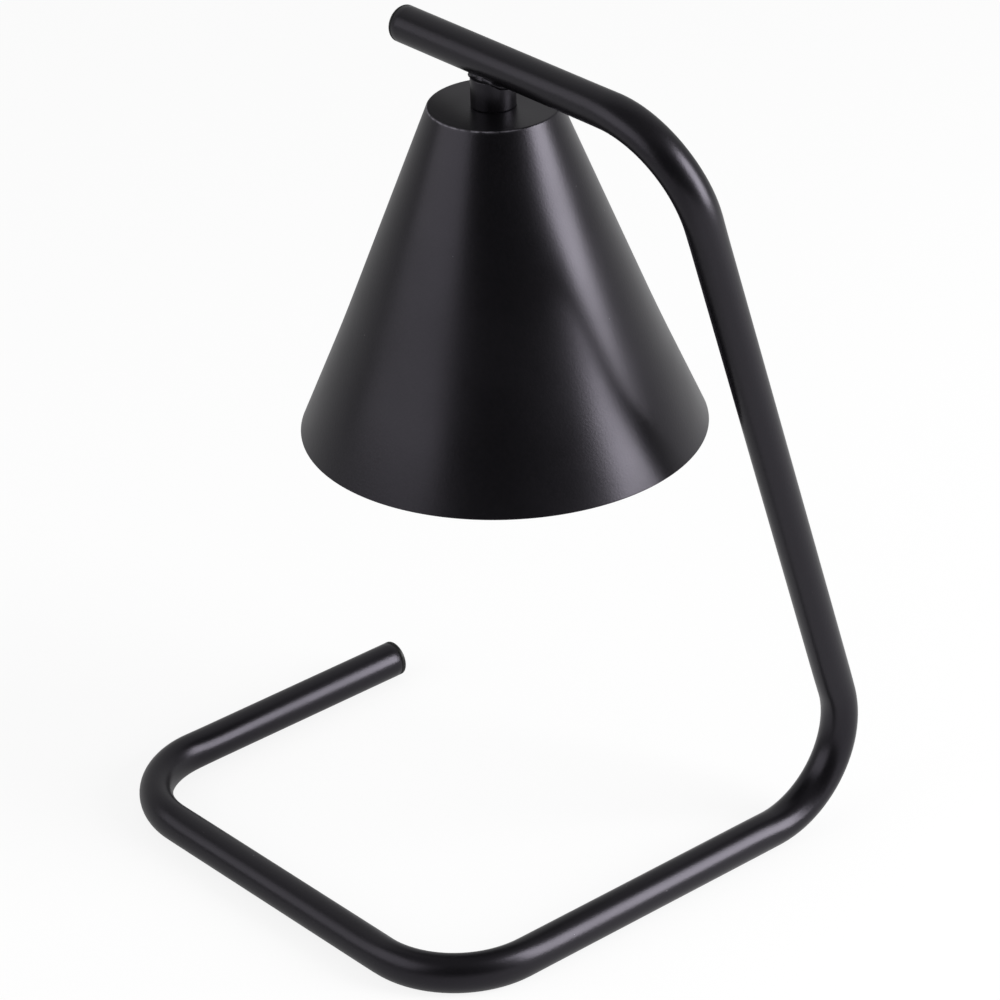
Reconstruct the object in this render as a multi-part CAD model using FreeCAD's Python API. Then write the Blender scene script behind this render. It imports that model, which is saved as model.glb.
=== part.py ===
"""Candle warmer lamp: a bent steel tube that is base, upright and arm in one, and under its arm a spun
cone shade round a GU10 halogen reflector lamp that melts the candle below from above.

Millimetres, +Z up. The origin is the middle of the square footprint, on the table. +X is towards the
upright, -Y towards the bar that joins the base's two side bars.
"""
import FreeCAD
import Part
import math
import os

Vec = FreeCAD.Vector
UP = Vec(0, 0, 1)

# Frame tube, sizes on its centre-line
tube_od = 14.0
tube_wall = 1.2
bend_radius = 36.0
base_width = 195.0
base_depth = 195.0
short_bar_length = 136.5
arm_height = 302.0
arm_from_front = 118.0
arm_length = 145.5
wire_hole = 9.4

# Push-in plugs in the tube's two cut ends
plug_length = 11.0
plug_wall = 1.3
plug_barbs = 3
plug_barb_depth = 0.5
plug_edge = 0.6
arm_plug_head = 1.2
foot_plug_head = 2.0
cable_hole = 6.6

# Neck bush, welded under the arm
neck_od = 16.4
neck_drop = 16.6
neck_seat = 5.4
neck_chamfer = 0.4
neck_edge = 0.4
bead_width = 1.0
bead_height = 1.6

# Spun shade
shade_top_od = 48.0
shade_rim_od = 148.0
shade_height = 127.4
shade_wall = 1.0
shade_shoulder = 0.8
shade_hole = 10.5

# M10 x 1 hollow nipple and what it clamps
nipple_od = 10.0
nipple_bore = 7.0
nipple_top_gap = 0.7
nipple_stand_out = 1.2
washer_od = 22.0
washer_thick = 1.0
lock_washer_od = 18.0
lock_washer_thick = 0.9
lock_washer_teeth = 12
lock_tooth_depth = 2.2
lock_tooth_gap = 1.6
nut_flats = 14.0
nut_thick = 3.0
bush_collar = 1.0
bush_length = 7.0
bush_wall = 0.7

# Strap that carries the lampholder
strap_thick = 1.2
strap_width = 13.0
strap_span = 27.0
strap_height = 15.5
strap_foot = 8.0
strap_bend = 0.6

# Ceramic GU10 lampholder
holder_od = 27.0
holder_body_height = 13.0
holder_cap_height = 3.0
holder_shelf = 3.2
holder_edge = 0.8
screw_spacing = 17.6
screw_size = 3.0
screw_head_od = 5.6
screw_sink = 1.2
screw_slot = 0.8
screw_nut_flats = 5.5
screw_nut_thick = 2.4
screw_stand_out = 1.6

# GU10 pins: two mushrooms that turn under the shelf
pin_spacing = 10.0
pin_stem = 3.0
pin_head_od = 5.0
pin_head_thick = 2.5
pin_root = 4.0
pin_play = 0.3
twist_angle = 30.0
contact_strip = 0.5
contact_width = 4.4
contact_gap = 0.2
barrel_od = 3.4
barrel_length = 4.0

# Two lampholder leads and the splices in the arm
lead_od = 2.0
lead_pitch = 2.6
lead_bend = 4.5
terminal_spacing = 12.0
splice_od = 4.4
splice_length = 20.0
splice_from_axis = 22.0
splice_pitch = 5.4
splice_depth = 8.0

# Halogen reflector lamp
bulb_base_od = 24.0
bulb_base_height = 14.0
bulb_neck_od = 15.0
bulb_neck_depth = 8.0
reflector_od = 49.6
reflector_depth = 30.5
reflector_wall = 1.6
reflector_crown_od = 38.0
reflector_crown_drop = 9.5
lens_thick = 2.4
lens_edge = 0.8
capsule_od = 8.6
capsule_wall = 0.8
capsule_length = 20.0
pinch_width = 7.6
pinch_thick = 3.4
pinch_height = 9.0
filament_od = 1.3
filament_length = 8.0
filament_leg = 0.5

# Clearances
thread_play = 0.05
push_play = 0.05
slip_play = 0.2
bulb_gap = 0.3

# Where things stand
right = base_width / 2
left = -right
front = -base_depth / 2
rear = base_depth / 2
tube_r = tube_od / 2
tube_bore_r = tube_r - tube_wall
bar_z = tube_r
arm_y = front + arm_from_front
shade_top_z = arm_height - neck_drop
washer_z = shade_top_z - shade_wall
strap_z = washer_z - washer_thick
lock_washer_z = strap_z - strap_thick
nut_z = lock_washer_z - lock_washer_thick
nipple_z = nut_z - nut_thick - nipple_stand_out
nipple_length = arm_height - tube_r - nipple_top_gap - nipple_z
holder_back_z = strap_z - strap_height
holder_face_z = holder_back_z - holder_cap_height - holder_body_height
bulb_z = holder_face_z - bulb_gap
head_z = holder_face_z + holder_shelf + pin_play
leaf_z = head_z + pin_head_thick + contact_gap


def rod(diameter, bottom, height):
    """A round bar on the Z axis."""
    return Part.makeCylinder(diameter / 2, height, Vec(0, 0, bottom))


def ring(outer, inner, bottom, height):
    """A round tube on the Z axis."""
    return rod(outer, bottom, height).cut(rod(inner, bottom, height))


def revolved(edges):
    """The solid that a closed outline in the XZ plane sweeps round the Z axis."""
    face = Part.Face(Part.Wire(edges))
    return face.revolve(Vec(0, 0, 0), UP, 360)


def outline(points):
    """The straight edges of a closed outline, given as (radius, height) pairs."""
    corners = [Vec(r, 0, z) for r, z in points]
    return Part.makePolygon(corners + corners[:1]).Edges


def hexagon(flats, bottom, height):
    """A hexagonal prism on the Z axis, its corners broken as on a nut."""
    across_corners = flats / math.cos(math.radians(30))
    points = [Vec(across_corners / 2, 0, bottom)]
    turned = [FreeCAD.Rotation(UP, 60 * k).multVec(points[0]) for k in range(7)]
    prism = Part.Face(Part.makePolygon(turned)).extrude(UP * height)
    slope = height / 2
    cone = Part.makeCone(flats / 2 + slope, flats / 2, slope, Vec(0, 0, bottom + slope))
    barrel = cone.fuse(cone.mirror(Vec(0, 0, bottom + slope), UP))
    return prism.common(barrel)


def circle_edges(shape, radius, z):
    """The full circles of that radius at that height, for a fillet or chamfer."""
    found = []
    for edge in shape.Edges:
        curve = edge.Curve
        if isinstance(curve, Part.Circle) and abs(curve.Radius - radius) < 1e-6 and abs(curve.Center.z - z) < 1e-6:
            found.append(edge)
    return found


def rounded_path(points, radius):
    """Straight runs through the points, joined by tangent arcs of one radius."""
    edges = []
    start = points[0]
    for before, corner, after in zip(points, points[1:], points[2:]):
        back = (before - corner).normalize()
        ahead = (after - corner).normalize()
        half = back.getAngle(ahead) / 2
        tangent = radius / math.tan(half)
        entry = corner + back * tangent
        leave = corner + ahead * tangent
        middle = corner + (back + ahead).normalize() * (radius / math.sin(half) - radius)
        edges.append(Part.makeLine(start, entry))
        edges.append(Part.Arc(entry, middle, leave).toShape())
        start = leave
    edges.append(Part.makeLine(start, points[-1]))
    return Part.Wire(edges)


def swept(path, diameter):
    """A round bar along a path."""
    start = path.OrderedVertexes[0].Point
    edge = path.OrderedEdges[0]
    direction = edge.tangentAt(edge.FirstParameter)
    profile = Part.Wire(Part.makeCircle(diameter / 2, start, direction))
    return path.makePipeShell([profile], True, False)


def on_shade_axis(shape):
    """Moves a piece built round the Z axis to the axis of the shade."""
    return shape.translated(Vec(0, arm_y, 0))


def mirrored_pair(shape):
    """A piece and its twin half a turn round the Z axis."""
    return [shape, shape.rotated(Vec(0, 0, 0), UP, 180)]


def frame_corners():
    """The centre-line's corners: arm end, arm corner, rear corner, front corner, left corner, foot end.

    The upright is the tangent from the arm's corner to the rear bend, whose back is the rearmost point.
    """
    bend_y = rear - bend_radius
    bend_z = bar_z + bend_radius
    to_bend = math.hypot(bend_y - arm_y, arm_height - bend_z)
    lean = math.atan2(bend_y - arm_y, arm_height - bend_z) + math.asin(bend_radius / to_bend)
    corner_y = arm_y + (arm_height - bar_z) * math.tan(lean)
    return [
        Vec(right - arm_length, arm_y, arm_height),
        Vec(right, arm_y, arm_height),
        Vec(right, corner_y, bar_z),
        Vec(right, front, bar_z),
        Vec(left, front, bar_z),
        Vec(left, front + short_bar_length, bar_z),
    ]


def frame_tube():
    path = rounded_path(frame_corners(), bend_radius)
    tube = swept(path, tube_od).cut(swept(path, tube_od - 2 * tube_wall))
    hole = on_shade_axis(rod(wire_hole, arm_height - tube_od, tube_od))
    return tube.cut(hole)


def end_plug(head_thick, hole):
    """A push-in plug on the Z axis: the head above z = 0, the barbed hollow shank below."""
    bore = tube_bore_r - push_play
    core = bore - plug_barb_depth
    step = plug_length / plug_barbs
    points = [(0, head_thick), (tube_r, head_thick), (tube_r, 0)]
    for k in range(plug_barbs):
        points.append((bore, -k * step))
        points.append((core, -(k + 1) * step))
    points.append((0, -plug_length))
    plug = revolved(outline(points))
    plug = plug.makeFillet(plug_edge, circle_edges(plug, tube_r, head_thick))
    plug = plug.cut(rod(2 * (core - plug_wall), -plug_length, plug_length))
    if hole:
        plug = plug.cut(rod(hole, -plug_length, plug_length + head_thick))
    return plug


def seated_plug(plug, end, outward):
    """A plug turned and moved into a cut end of the tube."""
    plug = plug.copy()
    plug.Placement = FreeCAD.Placement(end, FreeCAD.Rotation(UP, outward))
    return plug


def arm_end_plug():
    plug = end_plug(arm_plug_head, 0)
    return seated_plug(plug, frame_corners()[0], Vec(-1, 0, 0))


def foot_end_plug():
    plug = end_plug(foot_plug_head, cable_hole)
    return seated_plug(plug, frame_corners()[-1], Vec(0, 1, 0))


def arm_bar():
    """The arm's straight outside, long enough to cut the saddle in the neck."""
    return Part.makeCylinder(tube_r, 4 * neck_od, Vec(-2 * neck_od, 0, arm_height), Vec(1, 0, 0))


def neck_bush():
    """Turned bush, saddle-cut to the arm, with its weld bead on both flanks of the arm."""
    top_z = arm_height - neck_seat
    bush = rod(neck_od, shade_top_z, top_z - shade_top_z)
    bush = bush.makeChamfer(neck_chamfer, circle_edges(bush, neck_od / 2, shade_top_z))
    bush = bush.makeFillet(neck_edge, circle_edges(bush, neck_od / 2, top_z))
    toe = neck_od / 2 - bead_width
    crown = tube_r * math.sqrt(1 - ((neck_seat - bead_height) / tube_r) ** 2)
    bead = Part.makeCone(toe, crown, bead_height, Vec(0, 0, top_z))
    bush = bush.fuse(bead).cut(arm_bar())
    bore = rod(nipple_od + 2 * thread_play, shade_top_z, neck_drop)
    return on_shade_axis(bush.cut(bore))


def shade_blank(top_r, rim_r, top_z, shoulder):
    """A solid cone with a rounded shoulder, down to the rim."""
    rim_z = shade_top_z - shade_height
    cone = Part.makeCone(rim_r, top_r, top_z - rim_z, Vec(0, 0, rim_z))
    return cone.makeFillet(shoulder, circle_edges(cone, top_r, top_z))


def shade():
    slope = math.atan2((shade_rim_od - shade_top_od) / 2, shade_height)
    across = shade_wall / math.cos(slope)
    inner_top = shade_top_od / 2 - across + shade_wall * math.tan(slope)
    outside = shade_blank(shade_top_od / 2, shade_rim_od / 2, shade_top_z, shade_shoulder)
    inside = shade_blank(inner_top, shade_rim_od / 2 - across, washer_z, shade_shoulder - shade_wall / 2)
    hole = rod(shade_hole, washer_z, shade_wall)
    return on_shade_axis(outside.cut(inside).cut(hole))


def nipple():
    return on_shade_axis(ring(nipple_od, nipple_bore, nipple_z, nipple_length))


def nipple_bushes():
    """Plastic sleeves with a collar, pushed into both ends of the nipple so that no edge cuts the leads."""
    outer = nipple_bore - 2 * push_play
    inner = outer - 2 * bush_wall
    collar_od = (nipple_od + nipple_bore) / 2
    sleeve = ring(outer, inner, 0, bush_length).fuse(ring(collar_od, inner, -bush_collar, bush_collar))
    lower = sleeve.translated(Vec(0, 0, nipple_z))
    upper = sleeve.mirror(Vec(0, 0, 0), UP).translated(Vec(0, 0, nipple_z + nipple_length))
    return on_shade_axis(Part.makeCompound([lower.removeSplitter(), upper.removeSplitter()]))


def flat_washer():
    return on_shade_axis(ring(washer_od, shade_hole, strap_z, washer_thick))


def lock_washer():
    """Toothed washer that bites the strap and the nut."""
    washer = ring(lock_washer_od, shade_hole, nut_z, lock_washer_thick)
    gap = Part.makeBox(
        lock_tooth_depth, lock_tooth_gap, lock_washer_thick,
        Vec(lock_washer_od / 2 - lock_tooth_depth, -lock_tooth_gap / 2, nut_z),
    )
    step = 360 / lock_washer_teeth
    gaps = [gap.rotated(Vec(0, 0, 0), UP, k * step) for k in range(lock_washer_teeth)]
    return on_shade_axis(washer.cut(gaps))


def nipple_nut():
    nut = hexagon(nut_flats, nut_z - nut_thick, nut_thick)
    return on_shade_axis(nut.cut(rod(nipple_od + 2 * thread_play, nut_z - nut_thick, nut_thick)))


def across_bends(shape, reach, heights):
    """The straight edges along Y at x = +-reach and the given heights."""
    found = []
    for edge in shape.Edges:
        ends = [v.Point for v in edge.Vertexes]
        along_y = len(ends) == 2 and abs(ends[0].x - ends[1].x) < 1e-6 and abs(ends[0].z - ends[1].z) < 1e-6
        if along_y and abs(abs(ends[0].x) - reach) < 1e-6 and min(abs(ends[0].z - z) for z in heights) < 1e-6:
            found.append(edge)
    return found


def centred_box(length, width, bottom, height):
    """A box centred on the Z axis."""
    return Part.makeBox(length, width, height, Vec(-length / 2, -width / 2, bottom))


def holder_strap():
    """Steel strip bent into a loop, open between its two feet."""
    foot_z = strap_z - strap_height
    outer = centred_box(strap_span, strap_width, foot_z, strap_height)
    outer = outer.makeFillet(strap_bend + strap_thick, across_bends(outer, strap_span / 2, (foot_z, strap_z)))
    hollow_span = strap_span - 2 * strap_thick
    hollow = centred_box(hollow_span, strap_width, foot_z + strap_thick, strap_height - 2 * strap_thick)
    bends = across_bends(hollow, hollow_span / 2, (foot_z + strap_thick, strap_z - strap_thick))
    hollow = hollow.makeFillet(strap_bend, bends)
    mouth = centred_box(strap_span - 2 * strap_foot, strap_width, foot_z, strap_thick)
    strap = outer.cut([hollow, mouth, rod(shade_hole, strap_z - strap_thick, strap_thick)])
    screw_holes = mirrored_pair(screw_axis(rod(screw_size + 2 * thread_play, foot_z, strap_thick)))
    return on_shade_axis(strap.cut(screw_holes))


def screw_axis(shape):
    """Moves a piece built round the Z axis to one of the holder's two screws."""
    return shape.translated(Vec(screw_spacing / 2, 0, 0))


def pin_sweep(diameter, bottom, height):
    """What a round pin clears as it turns from the unlocked to the locked place, on the +Y side."""
    reach = pin_spacing / 2
    r = diameter / 2
    half = math.radians(twist_angle / 2)
    z = bottom

    def at(radius, angle):
        return Vec(-radius * math.sin(angle), radius * math.cos(angle), z)

    far = Part.Arc(at(reach + r, -half), at(reach + r, 0), at(reach + r, half)).toShape()
    near = Part.Arc(at(reach - r, -half), at(reach - r, 0), at(reach - r, half)).toShape()
    ends = []
    for side in (-1, 1):
        tip = at(reach, side * half) + Vec(-math.cos(half), -side * math.sin(half), 0) * (side * r)
        ends.append(Part.Arc(at(reach - r, side * half), tip, at(reach + r, side * half)).toShape())
    face = Part.Face(Part.Wire(Part.sortEdges([far, ends[1], near, ends[0]])[0]))
    return face.extrude(UP * height)


def at_pin(shape, angle):
    """Moves a piece built round the Z axis to the pin circle's +Y side, turned by an angle."""
    return shape.translated(Vec(0, pin_spacing / 2, 0)).rotated(Vec(0, 0, 0), UP, angle)


def holder_body():
    """Ceramic body: two keyholes in its face, the pockets behind them, and two countersunk screw holes."""
    body = rod(holder_od, holder_face_z, holder_body_height)
    body = body.makeFillet(holder_edge, circle_edges(body, holder_od / 2, holder_face_z))
    pocket_z = holder_face_z + holder_shelf
    pocket = pin_sweep(pin_head_od + 6 * slip_play, pocket_z, holder_body_height - holder_shelf)
    slot = pin_sweep(pin_stem + 2 * slip_play, holder_face_z, holder_shelf)
    entry = at_pin(rod(pin_head_od + 2 * slip_play, holder_face_z, holder_shelf), -twist_angle / 2)
    sunk_depth = screw_sink + (screw_head_od - screw_size) / 2
    sink = Part.makeCone(
        screw_head_od / 2 + slip_play, screw_size / 2 + slip_play, (screw_head_od - screw_size) / 2,
        Vec(0, 0, holder_face_z + screw_sink),
    )
    sink = sink.fuse(rod(screw_head_od + 2 * slip_play, holder_face_z, screw_sink))
    bore = rod(screw_size + 2 * slip_play, holder_face_z + sunk_depth, holder_body_height - sunk_depth)
    cuts = [pocket, slot, entry, screw_axis(sink.fuse(bore))]
    cuts = [twin for cut in cuts for twin in mirrored_pair(cut)]
    return on_shade_axis(body.cut(cuts))


def holder_cap():
    """Ceramic lid over the contacts, with a hole for each lead and each screw."""
    bottom = holder_back_z - holder_cap_height
    cap = rod(holder_od, bottom, holder_cap_height)
    cap = cap.makeFillet(holder_edge, circle_edges(cap, holder_od / 2, holder_back_z))
    lead_hole = rod(lead_od + 2 * slip_play, bottom, holder_cap_height).translated(Vec(0, terminal_spacing / 2, 0))
    screw_hole = screw_axis(rod(screw_size + 2 * slip_play, bottom, holder_cap_height))
    return on_shade_axis(cap.cut(mirrored_pair(lead_hole) + mirrored_pair(screw_hole)))


def holder_contacts():
    """Sprung strip over each pin's head, with a barrel crimped on the lead."""
    barrel_top = holder_back_z - holder_cap_height
    terminal_y = terminal_spacing / 2
    leaf = centred_box(contact_width, pin_head_od, leaf_z, contact_strip).translated(Vec(0, pin_spacing / 2, 0))
    riser_height = barrel_top - leaf_z
    riser = Part.makeBox(
        contact_width, contact_strip, riser_height,
        Vec(-contact_width / 2, terminal_y - barrel_od / 2 - contact_strip, leaf_z),
    )
    barrel = ring(barrel_od, lead_od, barrel_top - barrel_length, barrel_length)
    barrel = barrel.translated(Vec(0, terminal_y, 0))
    tie = Part.makeBox(
        contact_strip * 2, barrel_od / 2, barrel_length,
        Vec(-contact_strip, terminal_y - barrel_od / 2 - contact_strip / 2, barrel_top - barrel_length),
    )
    tie = tie.cut(rod(lead_od, barrel_top - barrel_length, barrel_length).translated(Vec(0, terminal_y, 0)))
    contact = leaf.fuse([riser, barrel, tie]).removeSplitter()
    return on_shade_axis(Part.makeCompound(mirrored_pair(contact)))


def holder_screws():
    """Two slotted countersunk M3 screws, from the holder's face up through the strap's feet."""
    head_bottom = holder_face_z + screw_sink
    head_height = (screw_head_od - screw_size) / 2
    shank_top = holder_back_z + strap_thick + screw_nut_thick + screw_stand_out
    head = Part.makeCone(screw_head_od / 2, screw_size / 2, head_height, Vec(0, 0, head_bottom))
    shank = rod(screw_size, head_bottom + head_height, shank_top - head_bottom - head_height)
    slot = centred_box(screw_head_od, screw_slot, head_bottom, screw_slot)
    screw = head.fuse(shank).removeSplitter().cut(slot)
    return on_shade_axis(Part.makeCompound(mirrored_pair(screw_axis(screw))))


def holder_nuts():
    bottom = holder_back_z + strap_thick
    nut = hexagon(screw_nut_flats, bottom, screw_nut_thick)
    nut = nut.cut(rod(screw_size + 2 * thread_play, bottom, screw_nut_thick))
    return on_shade_axis(Part.makeCompound(mirrored_pair(screw_axis(nut))))


def lead(side):
    """One insulated lead: up from its contact, through the nipple, and along the arm into its splice."""
    terminal_z = holder_back_z - holder_cap_height - barrel_length / 2
    nipple_y = side * lead_pitch / 2
    lowest_bush = nipple_z - bush_collar
    splice_y = side * splice_pitch / 2
    start = splice_from_axis
    points = [
        Vec(0, side * terminal_spacing / 2, terminal_z),
        Vec(0, side * terminal_spacing / 2, holder_back_z + lead_od),
        Vec(0, nipple_y, lowest_bush - lead_od / 2),
        Vec(0, nipple_y, arm_height),
        Vec(start / 2, nipple_y, arm_height),
        Vec(start - lead_bend / 2, splice_y, arm_height),
        Vec(start + splice_depth, splice_y, arm_height),
    ]
    return points


def lead_solid(side):
    return on_shade_axis(swept(rounded_path(lead(side), lead_bend / 2), lead_od))


def lead_splices():
    """Two butt splices in the arm, each with its far end free for the mains lead's conductor."""
    splices = []
    for side in (-1, 1):
        start = Vec(splice_from_axis, side * splice_pitch / 2, arm_height)
        along = Vec(1, 0, 0)
        sleeve = Part.makeCylinder(splice_od / 2, splice_length, start, along)
        near = Part.makeCylinder(lead_od / 2 + push_play, splice_depth, start, along)
        far = Part.makeCylinder(lead_od / 2 + push_play, splice_depth, start + along * splice_length, along * -1)
        splices.append(sleeve.cut([near, far]))
    return on_shade_axis(Part.makeCompound(splices))


def bulb_pins():
    """Two mushroom pins, at the locked end of the keyholes."""
    stem = rod(pin_stem, bulb_z - pin_root, head_z - bulb_z + pin_root)
    head = rod(pin_head_od, head_z, pin_head_thick)
    head = head.makeFillet(slip_play * 2, circle_edges(head, pin_head_od / 2, head_z + pin_head_thick))
    pin = stem.fuse(head).removeSplitter()
    return on_shade_axis(Part.makeCompound(mirrored_pair(at_pin(pin, twist_angle / 2))))


def bulb_base():
    """Ceramic foot of the lamp: holes for the pins above, the reflector's neck cemented in below."""
    bottom = bulb_z - bulb_base_height
    base = rod(bulb_base_od, bottom, bulb_base_height)
    base = base.makeFillet(holder_edge, circle_edges(base, bulb_base_od / 2, bulb_z))
    root = at_pin(rod(pin_stem, bulb_z - pin_root, pin_root), twist_angle / 2)
    neck = rod(bulb_neck_od + 2 * push_play, bottom, bulb_neck_depth)
    return on_shade_axis(base.cut(mirrored_pair(root) + [neck]))


def reflector_wall_curve(inset):
    """The bell's curve from neck to rim, drawn in by the wall where inset is positive."""
    top_z = bulb_z - bulb_base_height
    neck = Vec(bulb_neck_od / 2 - inset, 0, top_z - inset / 2)
    crown = Vec(reflector_crown_od / 2 - inset * 0.7, 0, top_z - reflector_crown_drop - inset * 0.7)
    rim = Vec(reflector_od / 2 - inset, 0, top_z - reflector_depth)
    return neck, crown, rim


def bulb_reflector():
    """Pressed glass bell with a short neck, silvered inside."""
    neck, crown, rim = reflector_wall_curve(0)
    neck_in, crown_in, rim_in = reflector_wall_curve(reflector_wall)
    neck_top = Vec(neck.x, 0, bulb_z - bulb_base_height + bulb_neck_depth)
    neck_top_in = Vec(neck_in.x, 0, neck_top.z)
    edges = [
        Part.makeLine(neck_top, neck),
        Part.Arc(neck, crown, rim).toShape(),
        Part.makeLine(rim, rim_in),
        Part.Arc(rim_in, crown_in, neck_in).toShape(),
        Part.makeLine(neck_in, neck_top_in),
        Part.makeLine(neck_top_in, neck_top),
    ]
    return on_shade_axis(revolved(edges))


def bulb_lens():
    """Front glass, seated on the reflector's rim."""
    top = bulb_z - bulb_base_height - reflector_depth
    lens = rod(reflector_od, top - lens_thick, lens_thick)
    return on_shade_axis(lens.makeFillet(lens_edge, circle_edges(lens, reflector_od / 2, top - lens_thick)))


def capsule_top():
    """Height where the quartz capsule meets its pinched foot."""
    return bulb_z - bulb_base_height + bulb_neck_depth - pinch_height


def bulb_pinch():
    """The capsule's flat-pressed quartz foot, in the reflector's neck."""
    return on_shade_axis(centred_box(pinch_width, pinch_thick, capsule_top(), pinch_height))


def bulb_capsule():
    """Quartz envelope: a tube with a round end, closed above by the pinch."""
    top = capsule_top()
    shaft = capsule_length - capsule_od / 2
    outer = rod(capsule_od, top - shaft, shaft).fuse(Part.makeSphere(capsule_od / 2, Vec(0, 0, top - shaft)))
    inner_d = capsule_od - 2 * capsule_wall
    inner = rod(inner_d, top - shaft, shaft).fuse(Part.makeSphere(inner_d / 2, Vec(0, 0, top - shaft)))
    return on_shade_axis(outer.cut(inner).removeSplitter())


def bulb_filament():
    """Coiled tungsten on two legs that stand in the pinch."""
    top = capsule_top()
    coil_z = top - (capsule_length - capsule_od / 2) + filament_od
    spread = pinch_thick / 2 - filament_leg
    coil = rod(filament_od, coil_z, filament_length)
    long_leg = rod(filament_leg, coil_z, top - coil_z).translated(Vec(spread, 0, 0))
    short_leg = rod(filament_leg, coil_z + filament_length, top - coil_z - filament_length)
    foot = Part.makeBox(spread, filament_leg, filament_leg, Vec(0, -filament_leg / 2, coil_z))
    return on_shade_axis(coil.fuse([long_leg, short_leg, foot]).removeSplitter())


nodes = {
    "frame_tube": frame_tube,
    "arm_end_plug": arm_end_plug,
    "foot_end_plug": foot_end_plug,
    "neck_bush": neck_bush,
    "shade": shade,
    "nipple": nipple,
    "nipple_bushes": nipple_bushes,
    "flat_washer": flat_washer,
    "lock_washer": lock_washer,
    "nipple_nut": nipple_nut,
    "holder_strap": holder_strap,
    "holder_body": holder_body,
    "holder_cap": holder_cap,
    "holder_contacts": holder_contacts,
    "holder_screws": holder_screws,
    "holder_nuts": holder_nuts,
    "lead_live": lambda: lead_solid(1),
    "lead_neutral": lambda: lead_solid(-1),
    "lead_splices": lead_splices,
    "bulb_pins": bulb_pins,
    "bulb_base": bulb_base,
    "bulb_reflector": bulb_reflector,
    "bulb_lens": bulb_lens,
    "bulb_capsule": bulb_capsule,
    "bulb_pinch": bulb_pinch,
    "bulb_filament": bulb_filament,
}

os.makedirs("parts", exist_ok=True)
for name, build in nodes.items():
    shape = build()
    if not shape.isValid():
        raise RuntimeError(name + " is not a valid shape")
    shape.exportStep("parts/" + name + ".step")
    box = shape.BoundBox
    print(f"{name:16s} {len(shape.Solids)} solids  {shape.Volume:10.1f} mm3  x {box.XMin:7.1f}..{box.XMax:6.1f}"
          f"  y {box.YMin:7.1f}..{box.YMax:6.1f}  z {box.ZMin:6.1f}..{box.ZMax:6.1f}")
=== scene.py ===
# %% [markdown]
# A candle warmer lamp: one bent steel tube is the base, the upright and the arm. A spun cone shade hangs
# under the arm, and inside it a halogen reflector lamp melts a jar candle from above.
# The CAD part comes in as a fixed frame, in metres, and this file gives it its looks. What shows most is
# rebuilt as smooth meshes, because a CAD node arrives as flat triangles that a satin finish would show.

# %% Load the frame
import math

import bmesh
import bpy
from mathutils import Matrix, Vector


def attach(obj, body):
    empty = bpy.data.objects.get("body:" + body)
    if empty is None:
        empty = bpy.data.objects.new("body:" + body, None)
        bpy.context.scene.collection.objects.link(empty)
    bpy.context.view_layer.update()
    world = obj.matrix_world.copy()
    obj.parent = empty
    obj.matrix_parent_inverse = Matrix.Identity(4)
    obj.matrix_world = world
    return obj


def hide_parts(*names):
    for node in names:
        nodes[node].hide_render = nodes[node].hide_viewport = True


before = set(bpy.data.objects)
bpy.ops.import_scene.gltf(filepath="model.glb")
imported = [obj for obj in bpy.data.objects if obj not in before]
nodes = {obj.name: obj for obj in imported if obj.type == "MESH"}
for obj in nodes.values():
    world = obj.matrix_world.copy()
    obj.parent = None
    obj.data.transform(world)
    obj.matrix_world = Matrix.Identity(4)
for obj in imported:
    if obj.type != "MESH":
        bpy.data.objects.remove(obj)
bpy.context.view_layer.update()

MM = 0.001

# %% [markdown]
# The camera repeats the photograph's. Its place and lens were solved from the tube's edges: 50 degrees
# round from the front, 29 degrees above the table, about 1.8 m away, with a long lens and a 2 degree tilt.

# %% Camera
CAMERA_PLACE = Vector((1150.3, -950.1, 947.8)) * MM
FILM_WIDTH = 36
FOCAL_LENGTH = 166.07
FAR_CLIP = 20
yaw = math.radians(49.95)
height_angle = math.radians(28.66)
tilt = math.radians(2.07)
ahead = Vector((
    -math.sin(yaw) * math.cos(height_angle),
    math.cos(yaw) * math.cos(height_angle),
    -math.sin(height_angle),
))
across = ahead.cross(Vector((0, 0, 1))).normalized()
below = ahead.cross(across)
image_x = math.cos(tilt) * across + math.sin(tilt) * below
image_y = math.sin(tilt) * across - math.cos(tilt) * below
camera_data = bpy.data.cameras.new("photo_camera")
camera_data.sensor_width = FILM_WIDTH
camera_data.lens = FOCAL_LENGTH
camera_data.clip_end = FAR_CLIP
camera = bpy.data.objects.new("photo_camera", camera_data)
bpy.context.scene.collection.objects.link(camera)
turn = Matrix((image_x, image_y, -ahead)).transposed().to_4x4()
camera.matrix_world = Matrix.Translation(CAMERA_PLACE) @ turn
bpy.context.scene.camera = camera
print("camera at", [round(v, 3) for v in camera.location])

# %% [markdown]
# Every material and every shape rule is a tree of nodes. One function adds a node, sets it and joins it.
# Another turns a hex colour, as a colour picker gives it, into the linear numbers that Blender works with.

# %% Helpers for node trees
def add(tree, kind, inputs=None, out=None, **settings):
    """Adds a node and links or sets its inputs. With out, it gives that output's socket."""
    node = tree.nodes.new(kind)
    for name, value in settings.items():
        setattr(node, name, value)
    for name, value in (inputs or {}).items():
        if isinstance(value, bpy.types.NodeSocket):
            tree.links.new(value, node.inputs[name])
        else:
            node.inputs[name].default_value = value
    return node if out is None else node.outputs[out]


def linear(hex_colour):
    """sRGB hex to the linear colour of a socket."""
    channels = [int(hex_colour[i:i + 2], 16) / 255 for i in (1, 3, 5)]
    return tuple(c / 12.92 if c <= 0.04045 else ((c + 0.055) / 1.055) ** 2.4 for c in channels) + (1.0,)


def grain(size_mm):
    """Scale of a texture whose features are about this size, on coordinates in metres."""
    return 1 / (size_mm * MM)


print("white is", linear("#ffffff"))

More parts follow.
